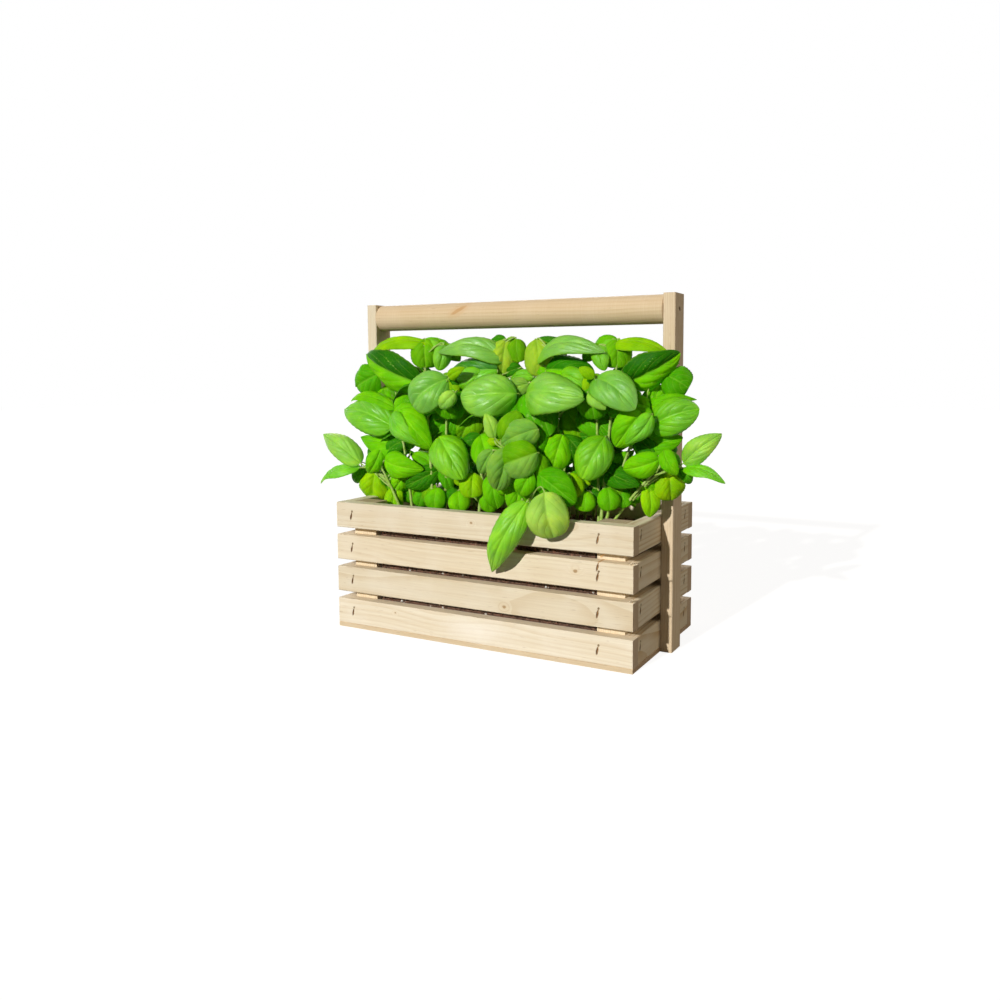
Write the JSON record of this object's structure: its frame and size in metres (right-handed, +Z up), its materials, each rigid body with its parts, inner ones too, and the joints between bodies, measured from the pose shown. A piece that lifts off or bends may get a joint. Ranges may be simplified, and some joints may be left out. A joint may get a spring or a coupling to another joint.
{
  "type": "herb planter",
  "caption": "Slatted wooden planter crate with end uprights and a round dowel carrying handle, filled with soil and leafy basil.",
  "frame": {"origin": "on the ground under the middle of the crate", "axes": "+Z up, +X along the crate to the right as seen from the front, +Y to the back"},
  "size_m": [0.4655, 0.2016, 0.357],
  "materials": {
    "pine": "sawn, unfinished",
    "base_wood": "thin sheet",
    "dowel_wood": "turned smooth",
    "staple_wire": "dulled",
    "screw_steel": "plated",
    "liner_film": "clear film",
    "soil": "potting mix with fibres and white grains",
    "basil": "glossy leaves"
  },
  "bodies": {
    "crate": {"front_slat_1": "pine", "front_slat_2": "pine", "front_slat_3": "pine", "front_slat_4": "pine", "back_slat_1": "pine", "back_slat_2": "pine", "back_slat_3": "pine", "back_slat_4": "pine", "left_end_slat_1": "pine", "left_end_slat_2": "pine", "left_end_slat_3": "pine", "left_end_slat_4": "pine", "right_end_slat_1": "pine", "right_end_slat_2": "pine", "right_end_slat_3": "pine", "right_end_slat_4": "pine", "front_left_post": "pine", "front_right_post": "pine", "back_left_post": "pine", "back_right_post": "pine", "base_sheet": "base_wood", "left_upright": "pine", "right_upright": "pine", "handle_dowel": "dowel_wood", "front_staples": "staple_wire", "back_staples": "staple_wire", "left_staples": "staple_wire", "right_staples": "staple_wire", "base_staples": "staple_wire", "handle_screws": "screw_steel", "upright_screws": "screw_steel"},
    "planting": {"liner": "liner_film", "soil": "soil", "basil_front_left": "basil", "basil_front_right": "basil", "basil_front_middle": "basil", "basil_back_left": "basil", "basil_back_right": "basil"}
  },
  "joints": [
    {"name": "liner_lift", "type": "slide", "parent": "crate", "child": "planting", "axis": [0, 0, 1], "range_m": [0, 0.135]}
  ]
}
